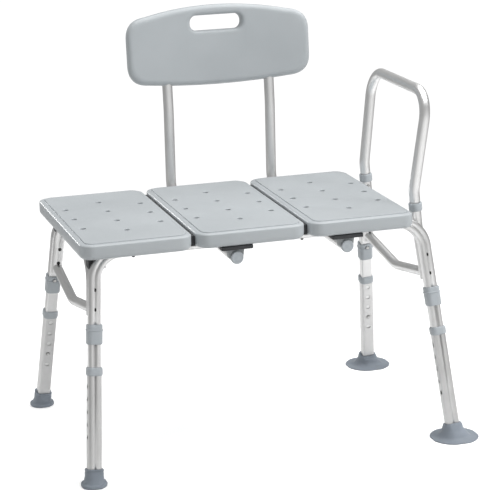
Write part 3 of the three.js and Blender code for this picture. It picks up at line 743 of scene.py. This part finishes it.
def build_brace(name, side):
    high = side_line(side, SEAT_TOP - BRACE_END)
    low = vec(side_line(side, SEAT_TOP - BRACE_MIDDLE).x, 0, SEAT_TOP - BRACE_MIDDLE)
    stations = run_of([high, low, flipped(high)], [BRACE_BEND], 30)
    round_tube(f"{name}_side_brace", BRACE_R, BRACE_WALL, stations, vec(1, 0, 0),
               f"{name}_brace")


def build_rivet_tails():
    depth = SIDE_OFFSET + SIDE_TUBE
    for end, matrix, facing in ENDS:
        for name, side in (("left", -facing), ("right", facing)):
            tails = merged(*[rivet(side, along, depth, 1) for along in RIVET_TAILS])
            dress(piece(f"{end}_{name}_rivet_tails", tails, matrix), "rivet")


build_left_rail()
build_sockets()
build_rivet_tails()
build_brace("left", -1)
build_brace("right", 1)
# The corner blocks under the seat's left end take the near-black plastic; their dark colour is partly
# painted shade for that shaded corner.
for end in ("front", "rear"):
    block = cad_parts[f"{end}_corner_block"]
    block.data.materials.clear()
    block.data.materials.append(MATERIALS["bracket_plastic"])

# ---- Seat ----

PANEL_HALF_X, PANEL_HALF_Y, PANEL_CORNER = 113.5, 216, 28
DRAIN_ROW = 82
DRAINS = [(x, y * DRAIN_ROW) for x in (-80, 80) for y in (-1, 0, 1)]
DRAINS += [(0, y * DRAIN_ROW) for y in (-1.5, -0.5, 0.5, 1.5)]

PANEL_SKIN = [
    (9, -32), (5.6, -31.5), (2.9, -30), (1.1, -27.4), (0.25, -24.6), (0, -21.5),
    (0, -5.4), (0.25, -4.7), (0.45, -4.4), (1.6, -3.25), (2.1, -2.95), (5, -2.1), (8.6, -1.35),
    (9.5, -1.2), (10, -1.35), (10.35, -1.8), (10.6, -2.2), (11.2, -2.2), (11.4, -0.6),
    (11.65, -0.15), (12.1, 0), (14.5, 0)]
DRAIN_FLARE = [
    (0, -45), (6.2, -45), (6.2, -1.4), (6.35, -0.7), (6.7, -0.25), (7.1, -0.04), (7.6, 0),
    (7.6, 6), (0, 6)]
TIGHT_CORNER, RIGHT_TRIM = 22, 1.5     # the right panel's front right corner and side
CHANNEL_HALF, CHANNEL_FLOOR = 13, -60
CHANNEL_STOP = 19                     # the left panel's channels end short of its outer side
RELIEF_HALF_LENGTH, RELIEF_DEPTH, RELIEF_TOP = 186, 2.2, -27
# The dark gap strips' sizes: painted shade that fills the gaps between the panels.
GAP_SHADE_HALF_X, GAP_SHADE_HALF_Y, GAP_SHADE_NOTCH_ROOF = 4.2, 188, -16.75


def build_seat_panel(name):
    centre = middle(f"seat_panel_{name}")
    place = Matrix.Translation((centre.x, centre.y, SEAT_TOP * MM)) @ Matrix.Scale(MM, 4)
    front_right, trim = (TIGHT_CORNER, RIGHT_TRIM) if name == "right" else (PANEL_CORNER, 0)
    loops = [rounded_rect(PANEL_HALF_X - trim - inset, PANEL_HALF_Y - inset,
                          PANEL_CORNER - inset, 10, height, front_right - inset)
             for inset, height in PANEL_SKIN]
    panel = piece(f"seat_{name}", moved(loft(loops), Matrix.Translation((-trim, 0, 0))), place)
    flares = [moved(turned(DRAIN_FLARE, 32), Matrix.Translation((x, y, 0))) for x, y in DRAINS]
    rail_y = leg_point(1, along_at(SEAT_TOP - RAIL_BELOW_SEAT)).y
    roof = -RAIL_BELOW_SEAT + COLUMN_LOBE + LOBE_X + 5 * GAP
    spare = -CHANNEL_STOP if name == "left" else 1
    half = PANEL_HALF_X + (1 + spare) / 2
    channel = loft([rounded_rect(half, CHANNEL_HALF, 1, 2, height)
                    for height in (CHANNEL_FLOOR, roof)])
    channels = [moved(channel, Matrix.Translation(((1 - spare) / 2, y, 0)))
                for y in (-rail_y, rail_y)]
    relief = loft([rounded_rect(RELIEF_DEPTH, RELIEF_HALF_LENGTH, 2.1, 6, height)
                   for height in (-40, RELIEF_TOP)])
    reliefs = [moved(relief, Matrix.Translation((x, 0, 0))) for x in (-PANEL_HALF_X, PANEL_HALF_X)]
    carve(panel, [merged(*flares), merged(*channels), merged(*reliefs)], place)
    dress(panel, "seat_plastic", stands_for=[f"seat_panel_{name}"], crisp=30)


def build_gap_shade_strip(name, x):
    """A dark strip in the gap between two panels, notched over the rails: painted shade where the gap
    would show the pale floor.
    """
    place = TO_FRAME @ Matrix.Translation((x, 0, SEAT_TOP))
    edge = [(0.4, -30), (0, -29.5), (0, -10), (0.3, -9.3), (1, -9)]
    loops = [rounded_rect(GAP_SHADE_HALF_X - i, GAP_SHADE_HALF_Y - i, 1.5, 4, z) for i, z in edge]
    strip = piece(f"{name}_joiner", loft(loops), place)
    rail_y = leg_point(1, along_at(SEAT_TOP - RAIL_BELOW_SEAT)).y
    notch = loft([rounded_rect(20, CHANNEL_HALF, 1, 2, height)
                  for height in (CHANNEL_FLOOR, GAP_SHADE_NOTCH_ROOF)])
    carve(strip, [merged(*[moved(notch, Matrix.Translation((0, y, 0)))
                           for y in (-rail_y, rail_y)])], place)
    dress(strip, "bracket_plastic", stands_for=[f"{name}_panel_joiner"])


for name in ("left", "centre", "right"):
    build_seat_panel(name)
# Dark strips in the two gaps between the panels: painted shade.
for name, x in (("left", PANEL_ROW_X - PANEL_HALF_PITCH), ("right", PANEL_ROW_X + PANEL_HALF_PITCH)):
    build_gap_shade_strip(name, x)

# ---- Cross tubes, brackets and caps ----

CROSS_WALL, CROSS_FRONT, CROSS_REAR = 1.2, -206, 208
BACK_BUTTON_Y = 176
SADDLE_Y, PLATE_Y = 195, 198


def back_button_hole(x):
    """The drill for a backrest button, down through the lower wall of a tube."""
    return rod(HOLE_RADIUS, vec(x, BACK_BUTTON_Y, CROSS_Z), vec(x, BACK_BUTTON_Y, CROSS_Z - 20), 24)


def build_cross_tube(name, x):
    stations = run_of([vec(x, CROSS_FRONT, CROSS_Z), vec(x, CROSS_REAR, CROSS_Z)], [])
    made = swept_piece(f"{name}_cross", *ring_section(CROSS_R, CROSS_WALL), stations,
                       vec(0, 0, 1))
    carve(made, [back_button_hole(x)])
    dress(made, "aluminium_tube", stands_for=[f"{name}_cross_tube"])


def build_bracket(name, place_name, x, facing):
    """A dark plate under the seat, on a tapered saddle that sits on the tube."""
    node = f"{name}_{place_name}_bracket"
    top = SEAT_TOP - PANEL_THICK - GAP
    levels = [(17, top - 7), (16.8, top - 9), (15.9, CROSS_Z + 8), (15, CROSS_Z + 2),
              (14.6, CROSS_Z - 0.8), (14, CROSS_Z - 2)]
    sides = loft([rounded_rect(width, 10, 2.5, 5, height) for width, height in levels])
    saddle = piece(f"{node}_saddle", moved(sides, Matrix.Translation((x, facing * SADDLE_Y, 0))))
    carve(saddle, [rod(CROSS_R + GAP, vec(x, -230, CROSS_Z), vec(x, 230, CROSS_Z),
                      TUBE_SIDES)])
    # The saddle wears the darker copy of the grey plastic, painted shade.
    dress(saddle, "saddle", stands_for=[node])
    edge = [(0.9, top - 7.5), (0.2, top - 7.2), (0, top - 6.6), (0, top - 0.8), (0.7, top)]
    plate = loft([rounded_rect(33 - i, 16 - i, 3, 5, z) for i, z in edge])
    plate = moved(plate, Matrix.Translation((x, facing * PLATE_Y, 0)))
    dress(piece(f"{node}_plate", plate), "bracket_plastic", stands_for=[node])


def build_cap(name, x):
    bore = CROSS_R - CROSS_WALL - GAP
    profile = [(0, -14), (bore - 1, -14), (bore, -13), (bore, GAP), (CROSS_R + 0.4, GAP),
               (CROSS_R + 0.6, 1.2), (CROSS_R + 0.4, 3), (CROSS_R - 0.3, 4.4),
               (CROSS_R - 1.6, 5.2), (CROSS_R - 2.6, 5), (CROSS_R - 3.2, 4.6), (4, 5.6), (0, 5.9)]
    cap = moved(turned(profile, TUBE_SIDES), aimed(vec(x, CROSS_FRONT, CROSS_Z), (0, -1, 0)))
    dress(piece(f"{name}_cap", cap), "collar_plastic", stands_for=[f"{name}_front_cap"], crisp=45)


for name, x in zip(("left", "right"), CROSS_X):
    build_cross_tube(name, x)
    build_bracket(name, "front", x, -1)
    build_bracket(name, "rear", x, 1)
    build_cap(name, x)

# ---- Backrest ----

BACK_HALF, BACK_THICK, BACK_BOTTOM, BACK_HEIGHT, BACK_RADIUS = 208, 30, 51, 176, 900
BACK_CORNER, BOTTOM_CROWN, TOP_CROWN = 46, 9, 18
SLOT_HALF_X, SLOT_HALF_Z, SLOT_UP = 59, 16.5, 137
POST_HALF_SPAN = (CROSS_X[1] - CROSS_X[0]) / 2
POST_FRONT, POST_REACH, POST_BENDS = 96, 165, [58, 120]


def quadratic(start, control, end, steps):
    for i in range(1, steps + 1):
        t = i / steps
        yield start * (1 - t) ** 2 + control * (2 * t * (1 - t)) + end * t ** 2


def back_outline(inset):
    """The backrest's outline in its own plane (x across, y up), height from the posts' knee."""
    x, low = BACK_HALF - inset, BACK_BOTTOM + inset
    high = BACK_BOTTOM + BACK_HEIGHT - inset
    c = BACK_CORNER
    points = [vec(-x + c, low + BOTTOM_CROWN)]
    curves = [
        (vec(0, low - BOTTOM_CROWN), vec(x - c, low + BOTTOM_CROWN), 24),
        (vec(x, low + BOTTOM_CROWN + 2), vec(x, low + BOTTOM_CROWN + c), 14),
        (vec(x, high - TOP_CROWN - c), vec(x, high - TOP_CROWN - c), 1),
        (vec(x, high - TOP_CROWN - 4), vec(x - c, high - TOP_CROWN), 14),
        (vec(0, high + TOP_CROWN), vec(-x + c, high - TOP_CROWN), 24),
        (vec(-x, high - TOP_CROWN - 4), vec(-x, high - TOP_CROWN - c), 14),
        (vec(-x, low + BOTTOM_CROWN + c), vec(-x, low + BOTTOM_CROWN + c), 1),
        (vec(-x, low + BOTTOM_CROWN + 2), vec(-x + c, low + BOTTOM_CROWN), 14)]
    for control, end, steps in curves:
        points += quadratic(points[-1], control, end, steps)
    return points[:-1]


BACK_EDGE = [(13, BACK_THICK / 2), (9.5, 14.6), (6.2, 13.2), (3.4, 10.8), (1.4, 7.6), (0.35, 4),
             (0, 0)]
SLOT_LIP = [(9, BACK_THICK / 2), (7.2, 14.85), (4.6, 14.1), (2.3, 12.4), (0.8, 9.9), (0.1, 7), (0, 4)]


def upright(points, depth):
    return [vec(p.x, depth, p.y) for p in points]


def slot_tool():
    """The hand slot with a rolled lip on both faces."""
    half = [(spread, -depth) for spread, depth in SLOT_LIP]
    both = [(9, -40)] + half + [(spread, -depth) for spread, depth in reversed(half)] + [(9, 40)]
    loops = []
    for spread, depth in both:
        rim = rounded_rect(SLOT_HALF_X + spread, SLOT_HALF_Z + spread, SLOT_HALF_Z + spread - 1.5,
                           14)
        loops.append(upright([p + vec(0, BACK_BOTTOM + SLOT_UP) for p in rim], depth))
    return loft(loops)


def bow(mesh, to_local):
    """Bends the flat slab round the sitter, after cutting it into upright strips."""
    work = bmesh.new()
    work.from_mesh(mesh)
    strips = 52
    for i in range(1, strips):
        x = BACK_HALF * (2 * i / strips - 1)
        everything = [*work.verts, *work.edges, *work.faces]
        bmesh.ops.bisect_plane(work, geom=everything, plane_co=(x, 0, 0), plane_no=(1, 0, 0))
    for v in work.verts:
        v.co.y += (POST_HALF_SPAN ** 2 - v.co.x ** 2) / (2 * BACK_RADIUS)
        v.co = to_local @ v.co
    work.to_mesh(mesh)
    work.free()


def build_back_panel():
    identity = Matrix.Identity(4)
    edge = [(inset, -depth) for inset, depth in BACK_EDGE]
    edge += [(inset, -depth) for inset, depth in reversed(edge[:-1])]
    slab = piece("backrest", loft([upright(back_outline(i), d) for i, d in edge]), identity)
    carve(slab, [slot_tool()], identity)
    place = (TO_FRAME @ Matrix.Translation((sum(CROSS_X) / 2, POST_Y, POST_KNEE))
             @ Matrix.Rotation(-BACK_LEAN, 4, "X"))
    bow(slab.data, place)
    sockets = [rod(POST_R + GAP, vec(x, 0, -20), vec(x, 0, POST_REACH + GAP), TUBE_SIDES)
               for x in (-POST_HALF_SPAN, POST_HALF_SPAN)]
    carve(slab, [merged(*sockets)], place)
    outward(slab.data)
    dress(slab, "seat_plastic", "backrest", ["backrest_panel"], 50)


def build_posts():
    up = vec(0, math.sin(BACK_LEAN), math.cos(BACK_LEAN))
    for name, x in zip(("left", "right"), CROSS_X):
        knee = vec(x, POST_Y, POST_KNEE)
        corners = [vec(x, POST_FRONT, CROSS_Z), vec(x, POST_Y, CROSS_Z), knee,
                   knee + up * POST_REACH]
        made = swept_piece(f"{name}_post", *ring_section(POST_R, TUBE_WALL),
                           run_of(corners, POST_BENDS, 24), vec(1, 0, 0))
        carve(made, [back_button_hole(x)])
        dress(made, "aluminium_tube", "backrest", [f"{name}_backrest_post"])
        place = TO_FRAME @ aimed(vec(x, BACK_BUTTON_Y, CROSS_Z), (0, 0, -1))
        snap_button(f"{name}_back_snap", flange_in_bore(POST_R - TUBE_WALL),
                    CROSS_R + BUTTON_PROUD, place,
                    f"{name}_backrest_button", f"{name}_backrest_button")


def flange_in_bore(radius):
    """How far from a round bore's axis a button's flange sits, with a little room left."""
    return math.sqrt((BORE_ROOM * radius) ** 2 - BUTTON_FLANGE ** 2) - GAP


build_back_panel()
build_posts()

# ---- Arm rail ----

ARM_SHOULDER_Z, ARM_KNEE_Z, ARM_TOP = SEAT_TOP + 5, SEAT_TOP + 29, vec(366, -157, SEAT_TOP + 232)
ARM_WALL, ARM_BENDS = 3.3, [60, 55, 55, 60]
SPIGOT_R, SPIGOT_BOTTOM = 9.2, SEAT_TOP - 38


def build_arm_rail():
    half = [socket_point(ARM_SHOULDER_Z), socket_point(ARM_KNEE_Z), ARM_TOP]
    stations = run_of(half + [flipped(p) for p in reversed(half)], ARM_BENDS, 24)
    # The arm loop wears the lighter copy of the aluminium, painted light.
    round_tube("arm_loop", SIDE_TUBE, ARM_WALL, stations, vec(1, 0, 0), "arm_rail", "arm",
               "aluminium_arm_painted_light")
    for end, sign in (("front", 1), ("rear", -1)):
        ends = [socket_point(SPIGOT_BOTTOM), socket_point(ARM_SHOULDER_Z + 1)]
        ends = [vec(p.x, p.y * sign, p.z) for p in ends]
        made = swept_piece(f"{end}_spigot", *ring_section(SPIGOT_R, TUBE_WALL),
                           run_of(ends, []), vec(1, 0, 0))
        carve(made, [arm_button_hole(sign)])
        dress(made, "aluminium_tube", "arm", ["arm_rail"])


def build_arm_collar(end, sign):
    low, high, step = SOCKET_TOP - 11, SOCKET_TOP + 6, SOCKET_TOP + GAP
    outside = [(12.6, low), (13.4, low + 0.3), (14, low + 1.6), (14, high - 2.2),
               (13.6, high - 0.9), (12.6, high - 0.1), (11.4, high)]
    inside = [(9.8, high), (9.8, step), (11.7, step), (11.7, low)]
    base = socket_point(0)
    base.y *= sign
    axis = vec(-LEAN_X, 0, 1)
    rings = [lifted(circle(radius, TUBE_SIDES), height * axis.length)
             for radius, height in outside + inside]
    collar = moved(loft(rings, closed=True), aimed(base, axis))
    dress(piece(f"{end}_collar_ring", collar), "collar_plastic", "arm", [f"{end}_arm_collar"])


build_arm_rail()
for end, sign in (("front", 1), ("rear", -1)):
    build_arm_collar(end, sign)
    place = TO_FRAME @ aimed(arm_button_at(sign), (0, sign, 0), (-1, 0, 0))
    snap_button(f"{end}_arm_snap", flange_in_bore(SPIGOT_R - TUBE_WALL), SIDE_TUBE + BUTTON_PROUD,
                place, f"{end}_arm_button", f"{end}_arm_button", 11)

# ---- Studio ----


def pale_floor():
    """White paper that fades out into the backdrop."""
    finish = Finish("floor_paper")
    finish.color(finish.ramp(finish.noise(1.5, 2), [(0.3, (0.76, 0.76, 0.76)),
                                                    (0.7, (0.80, 0.80, 0.80))]))
    finish.roughness(finish.spread(finish.noise(3, 2), 0.85, 0.95))
    finish.set(Specular_IOR_Level=0.1)
    reach = finish.node("ShaderNodeVectorMath", operation="LENGTH")
    finish.link(finish.place, reach.inputs[0])
    fade = finish.node("ShaderNodeMapRange", interpolation_type="SMOOTHSTEP")
    for key, value in (("From Min", 0.9), ("From Max", 2.2), ("To Min", 1), ("To Max", 0)):
        fade.inputs[key].default_value = value
    finish.link(reach.outputs["Value"], fade.inputs["Value"])
    finish.link(fade.outputs["Result"], finish.shader.inputs["Alpha"])
    seen = finish.node("ShaderNodeLightPath").outputs["Is Camera Ray"]
    finish.set(Emission_Color=(1, 1, 1, 1))
    finish.link(finish.spread(seen, 0, 0.4), finish.shader.inputs["Emission Strength"])
    return finish.material


def build_floor():
    floor = piece("floor", ([p * 2.4 for p in circle(1, 64)], [tuple(range(64))]),
                  Matrix.Identity(4))
    floor.data.materials.append(pale_floor())


def area_light(name, at, target, size, power, mirrored=True):
    light = bpy.data.lights.new(name, "AREA")
    light.shape = "RECTANGLE"
    light.size, light.size_y = size
    light.energy = power
    made = bpy.data.objects.new(name, light)
    made.matrix_world = aimed(Vector(at), Vector(at) - Vector(target))
    made.visible_glossy = mirrored
    bpy.context.scene.collection.objects.link(made)
    return made


def shine_only_on(light, names):
    """Lets a light fall on the named pieces only, so that the tubes beside them stay grey."""
    receivers = bpy.data.collections.new(f"{light.name}_receivers")
    for name in names:
        receivers.objects.link(bpy.data.objects[name])
    light.light_linking.receiver_collection = receivers


def glow(tree, towards, reach, strengths):
    """A soft grey surround that goes from one strength to the other towards a direction."""
    background = tree.nodes.new("ShaderNodeBackground")
    background.inputs["Color"].default_value = (1, 1, 0.99, 1)
    facing = tree.nodes.new("ShaderNodeVectorMath")
    facing.operation = "DOT_PRODUCT"
    tree.links.new(tree.nodes.new("ShaderNodeTexCoord").outputs["Generated"], facing.inputs[0])
    facing.inputs[1].default_value = Vector(towards).normalized()
    spread = tree.nodes.new("ShaderNodeMapRange")
    for name, value in zip(("From Min", "From Max", "To Min", "To Max"), reach + strengths):
        spread.inputs[name].default_value = value
    tree.links.new(facing.outputs["Value"], spread.inputs["Value"])
    tree.links.new(spread.outputs["Result"], background.inputs["Strength"])
    return background.outputs["Background"]


def build_world():
    """White to the camera, a dimmer room for the light, and a bright side for reflections."""
    world = bpy.data.worlds.new("studio")
    world.use_nodes = True
    tree = world.node_tree
    seen = tree.nodes.new("ShaderNodeLightPath")
    white = tree.nodes["Background"]
    white.inputs["Color"].default_value = (1, 1, 1, 1)
    white.inputs["Strength"].default_value = 1.05
    shown = glow(tree, (0, 0, 1), (-0.5, 0.5), (0.34, 0.56))
    for kind, choice in (("Is Glossy Ray", glow(tree, (0.3, -1, -1), (0.2, 0.87), (0.37, 1.0))),
                         ("Is Camera Ray", white.outputs["Background"])):
        mix = tree.nodes.new("ShaderNodeMixShader")
        tree.links.new(seen.outputs[kind], mix.inputs["Fac"])
        tree.links.new(shown, mix.inputs[1])
        tree.links.new(choice, mix.inputs[2])
        shown = mix.outputs["Shader"]
    tree.links.new(shown, tree.nodes["World Output"].inputs["Surface"])
    bpy.context.scene.world = world


def build_light():
    target = (0, 0, 0.4)
    area_light("overhead", (0.8, 0.2, 3.0), target, (3.4, 3.4), 88)
    area_light("key", (-2.0, -1.6, 1.9), target, (0.7, 1.6), 7, False)
    area_light("edge", (-2.2, 1.4, 1.5), target, (0.6, 1.8), 8, False)
    area_light("fill", (2.2, -1.8, 1.6), target, (0.8, 1.6), 40, False)
    behind = area_light("behind", (-1.25, 3.2, 1.4), target, (0.9, 0.8), 19)
    shine_only_on(behind, ("seat_left", "seat_centre", "seat_right"))
    build_world()
    bpy.context.scene.view_settings.view_transform = "Standard"


def build_camera():
    yaw, pitch, roll = (math.radians(a) for a in (17.281, 15.085, -1.2725))
    forward = Vector((math.sin(yaw) * math.cos(pitch), math.cos(yaw) * math.cos(pitch),
                      -math.sin(pitch)))
    flat = Vector((math.cos(yaw), -math.sin(yaw), 0))
    rise = flat.cross(forward)
    right = flat * math.cos(roll) + rise * math.sin(roll)
    up = rise * math.cos(roll) - flat * math.sin(roll)
    lens = bpy.data.cameras.new("camera")
    lens.lens, lens.sensor_width = 139.225, 36
    lens.clip_end = 40
    camera = bpy.data.objects.new("camera", lens)
    camera.matrix_world = (Matrix.Translation((-1.16125, -3.8050, 1.4586))
                           @ Matrix((right, up, -forward)).transposed().to_4x4())
    bpy.context.scene.collection.objects.link(camera)
    bpy.context.scene.camera = camera


build_floor()
build_light()
build_camera()
